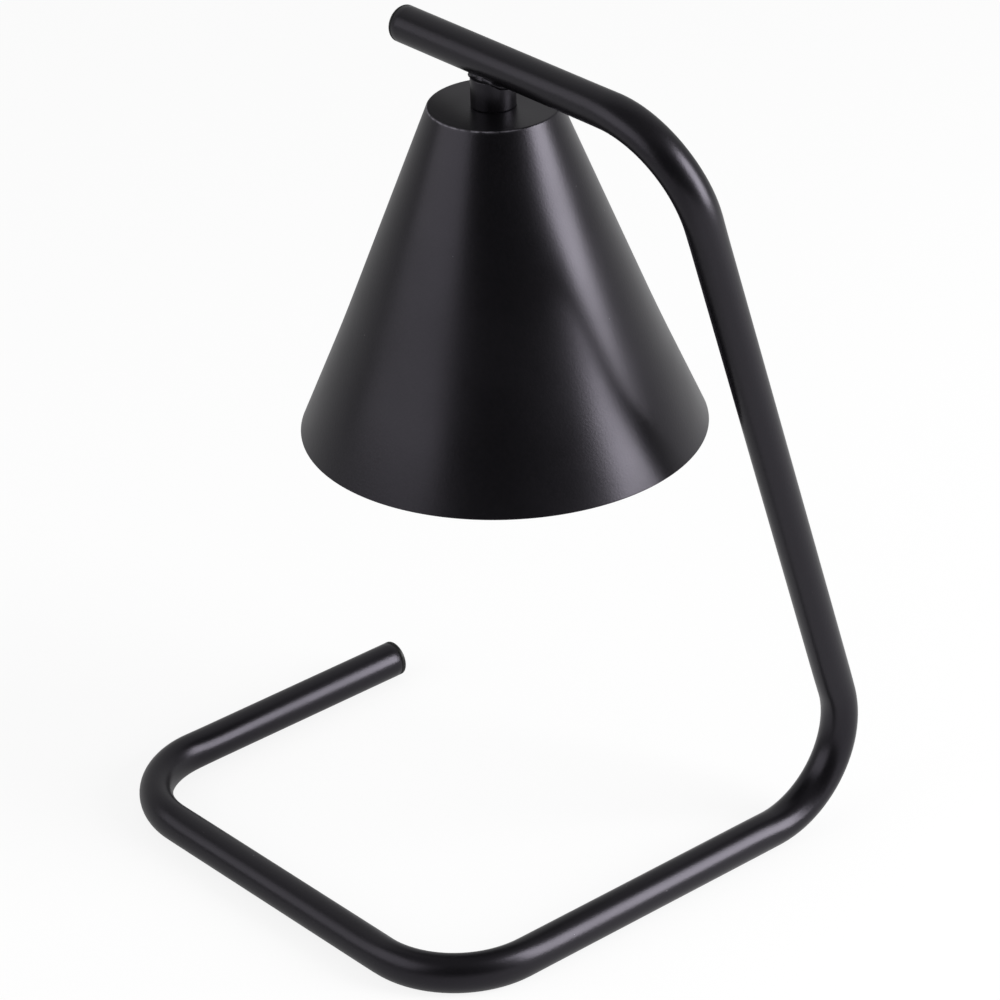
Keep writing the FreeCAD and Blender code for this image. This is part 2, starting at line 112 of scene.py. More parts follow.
# %% [markdown]
# Real finishes are never one value all over: plating clouds, powder flows out unevenly, moulds leave a grain.
# A finish starts with its constants set on the shader, and three functions give it that life. One lets a
# colour or a number drift in patches, one raises fine bumps, and one sprinkles specks.

# %% Helpers for finishes
CLOUD_LOW, CLOUD_HIGH = 0.35, 0.65
SPECK_SOFTNESS = 0.3


def new_finish(name, constants=None):
    """A material, and what its patterns need: its tree, its shader and the place on the object."""
    material = bpy.data.materials.new(name)
    material.use_nodes = True
    tree = material.node_tree
    shader = tree.nodes["Principled BSDF"]
    for socket, value in (constants or {}).items():
        shader.inputs[socket].default_value = value
    return material, (tree, shader, add(tree, "ShaderNodeTexCoord", out="Object"))


def drift(finish, socket, low, high, size_mm):
    """Lets a colour or a number wander between two values, in patches of about this size."""
    tree, shader, place = finish
    kind = "FLOAT"
    if isinstance(low, str):
        kind, low, high = "RGBA", linear(low), linear(high)
    cloud = add(tree, "ShaderNodeTexNoise", {"Vector": place, "Scale": grain(size_mm), "Detail": 3.0}, "Fac")
    share = add(tree, "ShaderNodeMapRange", {
        "Value": cloud, "From Min": CLOUD_LOW, "From Max": CLOUD_HIGH,
    }, "Result")
    mixed = add(tree, "ShaderNodeMix", {"Factor": share, "A": low, "B": high}, "Result", data_type=kind)
    tree.links.new(mixed, shader.inputs[socket])
    return mixed


def relief(finish, size_mm, depth_mm, strength=0.3, stretch=(1, 1, 1)):
    """Fine bumps of about this size and depth."""
    tree, shader, place = finish
    spot = add(tree, "ShaderNodeMapping", {"Vector": place, "Scale": stretch}, "Vector")
    waves = add(tree, "ShaderNodeTexNoise", {
        "Vector": spot, "Scale": grain(size_mm), "Detail": 2.0, "Roughness": 0.45,
    }, "Fac")
    bump = add(tree, "ShaderNodeBump", {
        "Height": waves, "Strength": strength, "Distance": depth_mm * MM,
    }, "Normal")
    tree.links.new(bump, shader.inputs["Normal"])


def sprinkle(finish, under, colour, spacing_mm, speck_mm, share):
    """Round specks of a colour over another, one in each chosen cell of about the given spacing."""
    tree, shader, place = finish
    cells = add(tree, "ShaderNodeTexVoronoi", {"Vector": place, "Scale": grain(spacing_mm)})
    edge = speck_mm / spacing_mm / 2
    inside = add(tree, "ShaderNodeMapRange", {
        "Value": cells.outputs["Distance"], "From Min": edge * (1 - SPECK_SOFTNESS),
        "From Max": edge * (1 + SPECK_SOFTNESS), "To Min": 1.0, "To Max": 0.0,
    }, "Result")
    chance = add(tree, "ShaderNodeSeparateColor", {"Color": cells.outputs["Color"]}, "Red")
    chosen = add(tree, "ShaderNodeMath", {0: chance, 1: 1 - share}, "Value", operation="GREATER_THAN")
    speck = add(tree, "ShaderNodeMath", {0: inside, 1: chosen}, "Value", operation="MULTIPLY")
    mixed = add(tree, "ShaderNodeMix", {
        "Factor": speck, "A": under, "B": linear(colour),
    }, "Result", data_type="RGBA")
    tree.links.new(mixed, shader.inputs["Base Color"])
    return mixed


print("a grain of 2 mm has the scale", grain(2))

# %% [markdown]
# The frame, the neck and the shade are powder coated steel: polyester powder, sprayed dry and baked to a
# satin black film 0.08 mm thick. The film flows out with a faint orange peel and mutes the light it
# mirrors, so edges and flanks show as broad grey sheens. Dust lies on it. The spun shoulder of the shade
# gets a painted highlight: a lighter grey in patches, most on its front side, placed by an attribute on the
# mesh. The peel's waves, under a millimetre, are drawn at 0.9 mm so that they show.

# %% Black powder coat
def black_powder_coat():
    material, finish = new_finish("black_powder_coat", {
        "Specular IOR Level": 0.5, "IOR": 1.5, "Specular Tint": linear("#f4edff"),
    })
    tree, shader, place = finish
    drift(finish, "Roughness", 0.3, 0.35, size_mm=38)
    relief(finish, size_mm=0.9, depth_mm=0.06, strength=0.4)
    powder = drift(finish, "Base Color", "#050506", "#09080a", size_mm=1.2)
    dusty = sprinkle(finish, powder, "#77767a", spacing_mm=6.5, speck_mm=0.3, share=0.3)
    # A painted highlight: the shoulder's attribute mixes a lighter grey into the coat, in patches.
    highlight_share = add(tree, "ShaderNodeAttribute", out="Fac", attribute_name="edge_highlight")
    highlight_patches = add(tree, "ShaderNodeTexNoise", {"Vector": place, "Scale": grain(2.2), "Detail": 4.0}, "Fac")
    highlight_patches = add(tree, "ShaderNodeMapRange", {"Value": highlight_patches, "From Min": 0.3, "From Max": 0.6}, "Result")
    painted_highlight = add(tree, "ShaderNodeMath", {0: highlight_share, 1: highlight_patches}, "Value", operation="MULTIPLY")
    mixed = add(tree, "ShaderNodeMix", {
        "Factor": painted_highlight, "A": dusty, "B": linear("#75727a"),
    }, "Result", data_type="RGBA")
    tree.links.new(mixed, shader.inputs["Base Color"])
    return material


coat = black_powder_coat()
print("made", coat.name)

# %% [markdown]
# Round pieces share one rule: a section, drawn on one side of the axis, is rolled round it, as metal
# spinning and turning do. A Geometry Nodes tree does the rolling. The section's corners carry their own
# radius, so a shoulder or a rolled edge is a number at a corner. A grid is wrapped instead of spinning a
# curve, because each of its rows then is one point of the section, and no corner is lost.

# %% The tree that rolls a section round its axis
SEAM_GAP = 0.002 * MM


def new_rule(title, kinds):
    """An empty Geometry Nodes tree with named inputs: the tree and its inputs' sockets."""
    tree = bpy.data.node_groups.new(title, "GeometryNodeTree")
    tree.interface.new_socket("Geometry", in_out="OUTPUT", socket_type="NodeSocketGeometry")
    for name, kind in kinds.items():
        tree.interface.new_socket(name, in_out="INPUT", socket_type="NodeSocket" + kind)
    print(title, "inputs:", ", ".join(kinds))
    return tree, add(tree, "NodeGroupInput").outputs


def end_rule(tree, shape, material):
    """Closes a tree: real geometry with its material, because an export drops instances."""
    shape = add(tree, "GeometryNodeRealizeInstances", {"Geometry": shape}, "Geometry")
    shape = add(tree, "GeometryNodeSetMaterial", {"Geometry": shape, "Material": material}, "Geometry")
    add(tree, "NodeGroupOutput", {"Geometry": shape})
    return tree


def spun_section_tree():
    tree, given = new_rule("spun section", {
        "Section": "Geometry", "Steps round": "Int", "Corner steps": "Int", "Closed": "Bool",
        "Material": "Material",
    })
    line = add(tree, "GeometryNodeMeshToCurve", {"Mesh": given["Section"]}, "Curve")
    radius = add(tree, "GeometryNodeInputNamedAttribute", {"Name": "corner"}, "Attribute", data_type="FLOAT")
    line = add(tree, "GeometryNodeFilletCurve", {
        "Curve": line, "Count": given["Corner steps"], "Radius": radius, "Limit Radius": True,
    }, "Curve", mode="POLY")
    points = add(tree, "GeometryNodeAttributeDomainSize", {
        "Geometry": line,
    }, "Point Count", component="CURVE")
    rows = add(tree, "ShaderNodeMath", {0: points, 1: given["Closed"]}, "Value", operation="ADD")
    columns = add(tree, "ShaderNodeMath", {0: given["Steps round"], 1: 1.0}, "Value", operation="ADD")
    grid = add(tree, "GeometryNodeMeshGrid", {
        "Size X": 1.0, "Size Y": 1.0, "Vertices X": columns, "Vertices Y": rows,
    }, "Mesh")
    index = add(tree, "GeometryNodeInputIndex", out="Index")
    column = add(tree, "ShaderNodeMath", {0: index, 1: 0.5}, "Value", operation="ADD")
    column = add(tree, "ShaderNodeMath", {0: column, 1: rows}, "Value", operation="DIVIDE")
    column = add(tree, "ShaderNodeMath", {0: column}, "Value", operation="FLOOR")
    before = add(tree, "ShaderNodeMath", {0: column, 1: rows}, "Value", operation="MULTIPLY")
    row = add(tree, "ShaderNodeMath", {0: index, 1: before}, "Value", operation="SUBTRACT")
    row = add(tree, "ShaderNodeMath", {0: row, 1: 0.25}, "Value", operation="ADD")
    row = add(tree, "ShaderNodeMath", {0: row, 1: points}, "Value", operation="MODULO")
    place = add(tree, "GeometryNodeInputPosition", out="Position")
    spot = add(tree, "GeometryNodeSampleIndex", {"Geometry": line, "Value": place, "Index": row}, "Value",
               data_type="FLOAT_VECTOR", domain="POINT")
    spot = add(tree, "ShaderNodeSeparateXYZ", {"Vector": spot}).outputs
    turn = add(tree, "ShaderNodeMath", {0: column, 1: given["Steps round"]}, "Value", operation="DIVIDE")
    turn = add(tree, "ShaderNodeMath", {0: turn, 1: math.tau}, "Value", operation="MULTIPLY")
    cosine = add(tree, "ShaderNodeMath", {0: turn}, "Value", operation="COSINE")
    sine = add(tree, "ShaderNodeMath", {0: turn}, "Value", operation="SINE")
    x = add(tree, "ShaderNodeMath", {0: spot["X"], 1: cosine}, "Value", operation="MULTIPLY")
    y = add(tree, "ShaderNodeMath", {0: spot["X"], 1: sine}, "Value", operation="MULTIPLY")
    rolled = add(tree, "ShaderNodeCombineXYZ", {"X": x, "Y": y, "Z": spot["Z"]}, "Vector")
    shell = add(tree, "GeometryNodeSetPosition", {"Geometry": grid, "Position": rolled}, "Geometry")
    shell = add(tree, "GeometryNodeMergeByDistance", {"Geometry": shell, "Distance": SEAM_GAP}, "Geometry")
    return end_rule(tree, shell, given["Material"])


spun_section = spun_section_tree()

# %% [markdown]
# A tree's result has to become a plain mesh. These functions set a modifier's inputs by their identifiers,
# evaluate the object, keep the mesh, and turn its faces outwards where the tree made it inside out. The
# sign of the volume that the faces enclose tells that.

# %% From a tree to a finished piece
def enclosed_volume(mesh):
    """Positive where the faces of a closed mesh point outwards."""
    mesh.calc_loop_triangles()
    spots = mesh.vertices
    return sum(
        spots[a].co.dot(spots[b].co.cross(spots[c].co)) / 6
        for a, b, c in (triangle.vertices for triangle in mesh.loop_triangles)
    )


def link_piece(name, mesh, materials, sharp_above=32):
    """A finished object at the origin, smooth but for edges sharper than the given angle."""
    if enclosed_volume(mesh) < 0:
        mesh.flip_normals()
    mesh.name = name
    mesh.shade_smooth()
    mesh.set_sharp_from_angle(angle=math.radians(sharp_above))
    mesh.materials.clear()
    for material in materials:
        mesh.materials.append(material)
    piece = bpy.data.objects.new(name, mesh)
    bpy.context.scene.collection.objects.link(piece)
    print(name, len(mesh.polygons), "faces")
    return piece


def dress(piece, node, body):
    """Lets a piece stand for a CAD node and move with a body."""
    if node:
        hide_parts(node)
    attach(piece, body)


def evaluated_mesh(seed_mesh, tree=None, values=None, more=()):
    """The plain mesh that a tree and further modifiers make of a seed mesh."""
    seed = bpy.data.objects.new("seed", seed_mesh)
    bpy.context.scene.collection.objects.link(seed)
    if tree:
        modifier = seed.modifiers.new("rule", "NODES")
        modifier.node_group = tree
        sockets = [item for item in tree.interface.items_tree if item.in_out == "INPUT"]
        ids = {item.name: item.identifier for item in sockets}
        for name, value in (values or {}).items():
            modifier[ids[name]] = value
    for kind, settings in more:
        modifier = seed.modifiers.new(kind, kind)
        for name, value in settings.items():
            setattr(modifier, name, value)
    bpy.context.view_layer.update()
    graph = bpy.context.evaluated_depsgraph_get()
    mesh = bpy.data.meshes.new_from_object(seed.evaluated_get(graph))
    bpy.data.objects.remove(seed)
    return mesh


def seed_line(points, corners=(), closed=False):
    """A mesh of edges only, with a corner radius stored on each point."""
    mesh = bpy.data.meshes.new("line")
    edges = [(i, i + 1) for i in range(len(points) - 1)]
    if closed:
        edges.append((len(points) - 1, 0))
    mesh.from_pydata([Vector(p) * MM for p in points], edges, [])
    radii = mesh.attributes.new("corner", "FLOAT", "POINT")
    for item, radius in zip(radii.data, corners):
        item.value = radius * MM
    return mesh


def spun(section, closed, material, steps, corner_steps):
    """Rolls (radius, height, corner radius) points, in mm, round the Z axis."""
    line = seed_line([(r, 0, z) for r, z, c in section], [c for r, z, c in section], closed)
    return evaluated_mesh(line, spun_section, {
        "Steps round": steps, "Corner steps": corner_steps, "Closed": closed, "Material": material,
    })


print("round pieces have", len(spun_section.nodes), "nodes to their rule")

# %% [markdown]
# The shade was spun over a form from a 1 mm disc: a flat top, a tight shoulder, a straight flank, and a rim
# that is cut square and only deburred. The last 40 mm spring open by two degrees, which widens the rim a
# little. The section is that of the sheet, inside and out. The shoulder's points are then marked for a
# painted highlight, most on the front side, towards -Y.

# %% Shade
AXIS_Y = 20.5
TOP_Z = 285.4
SHADE_TOP_R = 24.0


def on_axis(mesh):
    """The same mesh, moved from the origin to the shade's axis."""
    mesh.transform(Matrix.Translation(Vector((0, AXIS_Y, 0)) * MM))
    return mesh


def shade_section():
    """The sheet's section: over the top, down the outside, round the rim and up the inside."""
    rim_r, height, wall, shoulder = 74.0, 127.4, 1.0, 0.8
    hole_r, hole_edge, rim_edge, shoulder_run = 5.25, 0.1, 0.25, 1.3
    slope = math.atan2(rim_r - SHADE_TOP_R, height)
    across_wall = wall / math.cos(slope)
    inner_top = SHADE_TOP_R - across_wall + wall * math.tan(slope)
    rim_z = TOP_Z - height
    knee_up, knee_bend, spring_open = 40.0, 900.0, 1.3
    knee_r = rim_r - knee_up * math.tan(slope)
    rim_r += spring_open
    beside, down = shoulder_run * math.sin(slope), shoulder_run * math.cos(slope)
    return [
        (hole_r, TOP_Z, hole_edge),
        (SHADE_TOP_R - shoulder_run, TOP_Z, 0),
        (SHADE_TOP_R, TOP_Z, shoulder),
        (SHADE_TOP_R + beside, TOP_Z - down, 0),
        (knee_r, rim_z + knee_up, knee_bend),
        (rim_r, rim_z, rim_edge),
        (rim_r - across_wall, rim_z, rim_edge),
        (knee_r - across_wall, rim_z + knee_up, knee_bend),
        (inner_top, TOP_Z - wall, shoulder - wall / 2),
        (hole_r, TOP_Z - wall, hole_edge),
    ]


def mark_edge_highlight(mesh):
    """Marks the shoulder's points for a painted highlight, from 0 where there is none to 1 where it is
    brightest.
    """
    highlight_side = Vector((0.0, -1.0))
    side_gain, side_start, shoulder_drop = 2.0, 0.4, 0.52
    highlight_share = mesh.attributes.new("edge_highlight", "FLOAT", "POINT")
    for item, vertex in zip(highlight_share.data, mesh.vertices):
        outwards = Vector((vertex.co.x, vertex.co.y - AXIS_Y * MM))
        drop = (TOP_Z - vertex.co.z / MM) / shoulder_drop
        if outwards.length / MM > SHADE_TOP_R - 1 and 0 < drop < 1:
            # The painted highlight is strongest on the front side.
            facing = outwards.normalized().dot(highlight_side)
            on_side = max(0.0, min(1.0, side_gain * facing - side_start))
            item.value = math.sin(math.pi * drop) * on_side


shade_mesh = on_axis(spun(shade_section(), True, coat, steps=256, corner_steps=10))
mark_edge_highlight(shade_mesh)
dress(link_piece("shade_spun", shade_mesh, [coat]), "shade", "lamp")

# %% [markdown]
# The frame is drawn steel tube, 14 mm across, bent cold on one 36 mm former at four places. Bending makes a
# tube oval: it flattens towards the middle of the bend and spreads sideways. The photograph shows that as
# bends that are wider seen from above. The tree fillets a line of six corners, sweeps a circle along it,
# and then squeezes each ring by how much the line curves there. The base's bends press flat on the table.

# %% The tree that bends a tube
def bent_tube_tree():
    fillet_points, blur_steps = 96, 6
    tree, given = new_rule("bent tube", {
        "Corners": "Geometry", "Bend radius": "Float", "Tube radius": "Float", "Flattening": "Float",
        "Step": "Float", "Sides": "Int", "Material": "Material",
    })
    line = add(tree, "GeometryNodeMeshToCurve", {"Mesh": given["Corners"]}, "Curve")
    line = add(tree, "GeometryNodeFilletCurve", {
        "Curve": line, "Count": fillet_points, "Radius": given["Bend radius"], "Limit Radius": True,
    }, "Curve", mode="POLY")
    line = add(tree, "GeometryNodeResampleCurve", {
        "Curve": line, "Length": given["Step"],
    }, "Curve", mode="LENGTH")
    place = add(tree, "GeometryNodeInputPosition", out="Position")
    index = add(tree, "GeometryNodeInputIndex", out="Index")
    beside = []
    for step in (1, -1):
        other = add(tree, "ShaderNodeMath", {0: index, 1: step}, "Value", operation="ADD")
        beside.append(add(tree, "GeometryNodeFieldAtIndex", {
            "Index": other, "Value": place,
        }, "Value", data_type="FLOAT_VECTOR", domain="POINT"))
    both = add(tree, "ShaderNodeVectorMath", {0: beside[0], 1: beside[1]}, "Vector", operation="ADD")
    twice = add(tree, "ShaderNodeVectorMath", {0: place, "Scale": 2.0}, "Vector", operation="SCALE")
    curving = add(tree, "ShaderNodeVectorMath", {0: both, 1: twice}, "Vector", operation="SUBTRACT")
    squared = add(tree, "ShaderNodeMath", {0: given["Step"], 1: given["Step"]}, "Value", operation="MULTIPLY")
    per_step = add(tree, "ShaderNodeMath", {0: given["Bend radius"], 1: squared}, "Value", operation="DIVIDE")
    inwards = add(tree, "ShaderNodeVectorMath", {0: curving, "Scale": per_step}, "Vector", operation="SCALE")
    ends = add(tree, "GeometryNodeCurveEndpointSelection", {"Start Size": 1, "End Size": 1}, "Selection")
    inwards = add(tree, "GeometryNodeSwitch", {
        "Switch": ends, "False": inwards, "True": (0, 0, 0),
    }, "Output", input_type="VECTOR")
    inwards = add(tree, "GeometryNodeBlurAttribute", {
        "Value": inwards, "Iterations": blur_steps,
    }, "Value", data_type="FLOAT_VECTOR")
    for name, value in (("inwards", inwards), ("centre", place)):
        line = add(tree, "GeometryNodeStoreNamedAttribute", {
            "Geometry": line, "Name": name, "Value": value,
        }, "Geometry", data_type="FLOAT_VECTOR", domain="POINT")
    ring = add(tree, "GeometryNodeCurvePrimitiveCircle", {
        "Resolution": given["Sides"], "Radius": given["Tube radius"],
    }, "Curve", mode="RADIUS")
    tube = add(tree, "GeometryNodeCurveToMesh", {"Curve": line, "Profile Curve": ring}, "Mesh")
    inwards, centre = [
        add(tree, "GeometryNodeInputNamedAttribute", {"Name": name}, "Attribute", data_type="FLOAT_VECTOR")
        for name in ("inwards", "centre")
    ]
    spoke = add(tree, "ShaderNodeVectorMath", {0: place, 1: centre}, "Vector", operation="SUBTRACT")
    unit = add(tree, "ShaderNodeVectorMath", {0: inwards}, "Vector", operation="NORMALIZE")
    bend = add(tree, "ShaderNodeVectorMath", {0: inwards}, "Value", operation="LENGTH")
    squeeze = add(tree, "ShaderNodeMath", {0: bend, 1: given["Flattening"]}, "Value", operation="MULTIPLY")
    depth = add(tree, "ShaderNodeVectorMath", {0: spoke, 1: unit}, "Value", operation="DOT_PRODUCT")
    radial = add(tree, "ShaderNodeVectorMath", {0: unit, "Scale": depth}, "Vector", operation="SCALE")
    sideways = add(tree, "ShaderNodeVectorMath", {0: spoke, 1: radial}, "Vector", operation="SUBTRACT")
    spread = add(tree, "ShaderNodeVectorMath", {0: sideways, 1: radial}, "Vector", operation="SUBTRACT")
    shift = add(tree, "ShaderNodeVectorMath", {0: spread, "Scale": squeeze}, "Vector", operation="SCALE")
    tube = add(tree, "GeometryNodeSetPosition", {"Geometry": tube, "Offset": shift}, "Geometry")
    return end_rule(tree, tube, given["Material"])


bent_tube = bent_tube_tree()

# %% Frame tube
ARM_Z = 302.0
TUBE_R = 7.0
BEND_R = 36.0
TUBE_WALL = 1.2
HALF_BASE = 97.5
ARM_END = (-48.0, AXIS_Y, ARM_Z)
FOOT_END = (-HALF_BASE, 39.0, TUBE_R)
RING_STEP = 2.5
RING_SIDES = 56
FLATTENING = 0.08
DEBURRED = 0.25


def rear_corner():
    """Where the upright meets the base: tangent to the rearmost bend, it leans over to the arm."""
    back = HALF_BASE - BEND_R - AXIS_Y
    up = ARM_Z - TUBE_R - BEND_R
    lean = math.atan2(back, up) + math.asin(BEND_R / math.hypot(back, up))
    print("upright leans", round(math.degrees(lean), 2), "degrees")
    return HALF_BASE, AXIS_Y + (ARM_Z - TUBE_R) * math.tan(lean), TUBE_R


corners = [
    ARM_END, (HALF_BASE, AXIS_Y, ARM_Z), rear_corner(), (HALF_BASE, -HALF_BASE, TUBE_R),
    (-HALF_BASE, -HALF_BASE, TUBE_R), FOOT_END,
]
tube_mesh = evaluated_mesh(seed_line(corners), bent_tube, {
    "Bend radius": BEND_R * MM, "Tube radius": TUBE_R * MM, "Flattening": FLATTENING, "Step": RING_STEP * MM,
    "Sides": RING_SIDES, "Material": coat,
})
first = tube_mesh.polygons[0]
if first.normal.dot(first.center - Vector(ARM_END) * MM) < 0:
    tube_mesh.flip_normals()
for vertex in tube_mesh.vertices:
    vertex.co.z = max(vertex.co.z, 0.0)
tube_mesh = evaluated_mesh(tube_mesh, more=[
    ("SOLIDIFY", {"thickness": TUBE_WALL * MM, "offset": -1, "use_even_offset": True}),
    ("BEVEL", {
        "width": DEBURRED * MM, "segments": 2, "limit_method": "ANGLE", "angle_limit": math.radians(50),
    }),
])
dress(link_piece("frame_bent", tube_mesh, [coat]), "frame_tube", "lamp")

# %% [markdown]
# The neck is a turned bush, coped to the arm's round underside. It is spun like the shade, and then every
# point that would stand inside the arm is lowered to the arm's skin, which is what coping does.

# %% Neck
NECK_R = 8.2
LEDGE_Z = ARM_Z - 5.4
COPED_INTO_WALL = 0.15


def under_arm(y, skin):
    """Height of the arm's underside at a distance y from its middle, for a tube of radius skin."""
    return ARM_Z - math.sqrt(max(skin * skin - y * y, 0.0))


def coped_neck():
    """The bush: its foot on the shade, its ledge for the weld, and the spigot that enters the arm."""
    bore_r, bore_rise = 5.05, 1.6
    spigot_r, spigot_tip_r, spigot_rise = 6.6, 6.0, 1.4
    bore_edge, outer_edge, spigot_edge, wall_row = 0.2, 0.4, 0.3, 5.0
    mesh = spun([
        (bore_r, TOP_Z, bore_edge),
        (NECK_R, TOP_Z, outer_edge),
        (NECK_R, TOP_Z + wall_row, 0),
        (NECK_R, LEDGE_Z, outer_edge),
        (spigot_r, LEDGE_Z, spigot_edge),
        (spigot_tip_r, LEDGE_Z + spigot_rise, spigot_edge),
        (bore_r, LEDGE_Z + bore_rise, 0),
    ], True, coat, steps=128, corner_steps=6)
    for vertex in mesh.vertices:
        y = vertex.co.y / MM
        if abs(y) < TUBE_R:
            vertex.co.z = min(vertex.co.z, under_arm(y, TUBE_R - COPED_INTO_WALL) * MM)
    return on_axis(mesh)


dress(link_piece("neck_turned", coped_neck(), [coat]), "neck_bush", "lamp")

# %% [markdown]
# Bush and arm are joined by one weld run. A weld pool sets in ripples, one for each pulse of the torch, and
# the coat rounds them off without hiding them. The run follows a loop: straight along both flanks of the
# arm, where it lies on the bush's ledge, and round under the arm, on the bush's wall. The tree sweeps a
# circle along the loop and lets its size rise and fall with the length that is done.

# %% Weld run
BEAD_R = 1.15
RIPPLE_LENGTH = 3.1
OFF_SKIN = 0.25


def weld_run_tree():
    ring_step, ring_sides = 0.35 * MM, 16
    tree, given = new_rule("weld run", {
        "Line": "Geometry", "Bead radius": "Float", "Ripple length": "Float", "Ripple height": "Float",
        "Material": "Material",
    })
    line = add(tree, "GeometryNodeMeshToCurve", {"Mesh": given["Line"]}, "Curve")
    line = add(tree, "GeometryNodeResampleCurve", {
        "Curve": line, "Length": ring_step,
    }, "Curve", mode="LENGTH")
    done = add(tree, "GeometryNodeSplineParameter", out="Length")
    ripples = add(tree, "ShaderNodeMath", {
        0: done, 1: given["Ripple length"],
    }, "Value", operation="DIVIDE")
    ripples = add(tree, "ShaderNodeMath", {0: ripples, 1: math.tau}, "Value", operation="MULTIPLY")
    wave = add(tree, "ShaderNodeMath", {0: ripples}, "Value", operation="SINE")
    size = add(tree, "ShaderNodeMath", {
        0: wave, 1: given["Ripple height"], 2: 1.0,
    }, "Value", operation="MULTIPLY_ADD")
    ring = add(tree, "GeometryNodeCurvePrimitiveCircle", {
        "Resolution": ring_sides, "Radius": given["Bead radius"],
    }, "Curve", mode="RADIUS")
    bead = add(tree, "GeometryNodeCurveToMesh", {
        "Curve": line, "Profile Curve": ring, "Scale": size,
    }, "Mesh")
    return end_rule(tree, bead, given["Material"])


def weld_loop(steps=180):
    """The loop that the torch follows, just outside the arm's skin."""
    flank_y, skin, roundness = 5.2, TUBE_R + OFF_SKIN, 8
    loop = []
    for k in range(steps):
        angle = math.tau * k / steps
        flank_share = abs(math.sin(angle)) / flank_y
        reach = (NECK_R ** -roundness + flank_share ** roundness) ** (-1 / roundness)
        y = reach * math.sin(angle)
        loop.append((reach * math.cos(angle), y + AXIS_Y, under_arm(y, skin)))
    return seed_line(loop, closed=True)


weld = evaluated_mesh(weld_loop(), weld_run_tree(), {
    "Bead radius": BEAD_R * MM, "Ripple length": RIPPLE_LENGTH * MM, "Ripple height": 0.07, "Material": coat,
})
dress(link_piece("neck_weld", weld, [coat], sharp_above=80), None, "lamp")

# %% [markdown]
# The plugs in the tube's ends are moulded polyethylene. Steel moulds are spark eroded, so the plastic comes
# out with a fine matt grain and a slightly uneven sheen. It is the darkest thing on the lamp.

# %% Black moulded plastic
def moulded_polyethylene():
    material, finish = new_finish("moulded_polyethylene", {"IOR": 1.51})
    drift(finish, "Base Color", "#09090a", "#111112", size_mm=2.5)
    drift(finish, "Roughness", 0.42, 0.55, size_mm=3)
    relief(finish, size_mm=0.35, depth_mm=0.02)
    return material


black_plastic = moulded_polyethylene()
print("made", black_plastic.name)

# %% [markdown]
# Small turned and moulded pieces already have their right shape in the CAD part. A copy of such a node is
# merged into one skin, so that it can be smooth across its facets and sharp at its edges.

# %% Smooth copies of CAD nodes
MERGE_GAP = 0.001 * MM


def smooth_copy(node, name, material, body, sharp_above=32):
    """Stands in for a CAD node with the same shape in one merged, smooth skin."""
    mesh = nodes[node].data.copy()
    skin = bmesh.new()
    skin.from_mesh(mesh)
    bmesh.ops.remove_doubles(skin, verts=skin.verts, dist=MERGE_GAP)
    skin.to_mesh(mesh)
    skin.free()
    dress(link_piece(name, mesh, [material], sharp_above), node, body)


smooth_copy("arm_end_plug", "arm_cap", black_plastic, "lamp")
smooth_copy("foot_end_plug", "foot_grommet", black_plastic, "lamp")

# %% [markdown]
# Under the shade's top, a hollow threaded nipple, a washer, a toothed lock washer and a brass nut clamp the
# strap. Bright zinc plate clouds from blue-white to a little yellow, and the barrel that plated it rubbed it
# in fine scratches. Brass is bare, turned from hexagon bar, with a duller skin where it has tarnished.

# %% Plated steel and brass
def zinc_plate():
    material, finish = new_finish("zinc_plated_steel", {"Metallic": 1.0})
    drift(finish, "Base Color", "#a9adb3", "#c4c1b2", size_mm=3.5)
    drift(finish, "Roughness", 0.24, 0.42, size_mm=1.6)
    relief(finish, size_mm=0.6, depth_mm=0.012, strength=0.25, stretch=(1, 1, 0.25))
    return material


def turned_brass():
    material, finish = new_finish("turned_brass", {"Metallic": 1.0})
    drift(finish, "Base Color", "#c39a4b", "#95713a", size_mm=4)
    drift(finish, "Roughness", 0.2, 0.4, size_mm=1.2)
    relief(finish, size_mm=0.9, depth_mm=0.015, strength=0.3, stretch=(1, 1, 6))
    return material


zinc = zinc_plate()
brass = turned_brass()
for node, name in (
    ("flat_washer", "washer_flat"),
    ("lock_washer", "washer_toothed"),
    ("holder_strap", "strap_bent"),
    ("holder_nuts", "nuts_small"),
):
    smooth_copy(node, name, zinc, "lamp", sharp_above=25)
smooth_copy("nipple_nut", "nut_hexagon", brass, "lamp", sharp_above=25)

# %% [markdown]
# Threads are drawn as rings of the right pitch: the helix would climb one pitch in a turn, and nobody can
# tell on the turn or two that stand out of a nut. A formula gives the zigzag of the section.

# %% Threaded pieces
def thread(radius, pitch, bottom, top):
    """Section points of a thread's crests and roots, from top to bottom, on the outside of a rod."""
    root_depth, root_flat = 0.61 * pitch, 0.06 * pitch
    crest_round, end_round = 0.06, 0.05
    root = radius - root_depth
    turns = int((top - bottom) / pitch)
    start = top - (top - bottom - turns * pitch) / 2
    points = [(root, top, end_round)]
    for k in range(turns):
        points.append((root, start - k * pitch - root_flat, 0))
        points.append((radius, start - (k + 0.5) * pitch, crest_round))
    return points + [(root, bottom, end_round)]


NIPPLE_BOTTOM, NIPPLE_TOP = 277.1, 294.3
NIPPLE_R, NIPPLE_PITCH = 5.0, 1.0
NIPPLE_BORE_R, BORE_EDGE = 3.5, 0.2
nipple_section = thread(NIPPLE_R, NIPPLE_PITCH, NIPPLE_BOTTOM, NIPPLE_TOP) + [
    (NIPPLE_BORE_R, NIPPLE_BOTTOM, BORE_EDGE), (NIPPLE_BORE_R, NIPPLE_TOP, BORE_EDGE),
]
nipple = on_axis(spun(nipple_section, True, zinc, steps=64, corner_steps=2))
dress(link_piece("nipple_threaded", nipple, [zinc], sharp_above=20), "nipple", "lamp")

# %% [markdown]
# The lampholder's two screws are alike: a countersunk slotted head in the holder's face and a threaded shank
# up through the strap. One is spun and its slot cut by a boolean, and a tree sets out the pair.

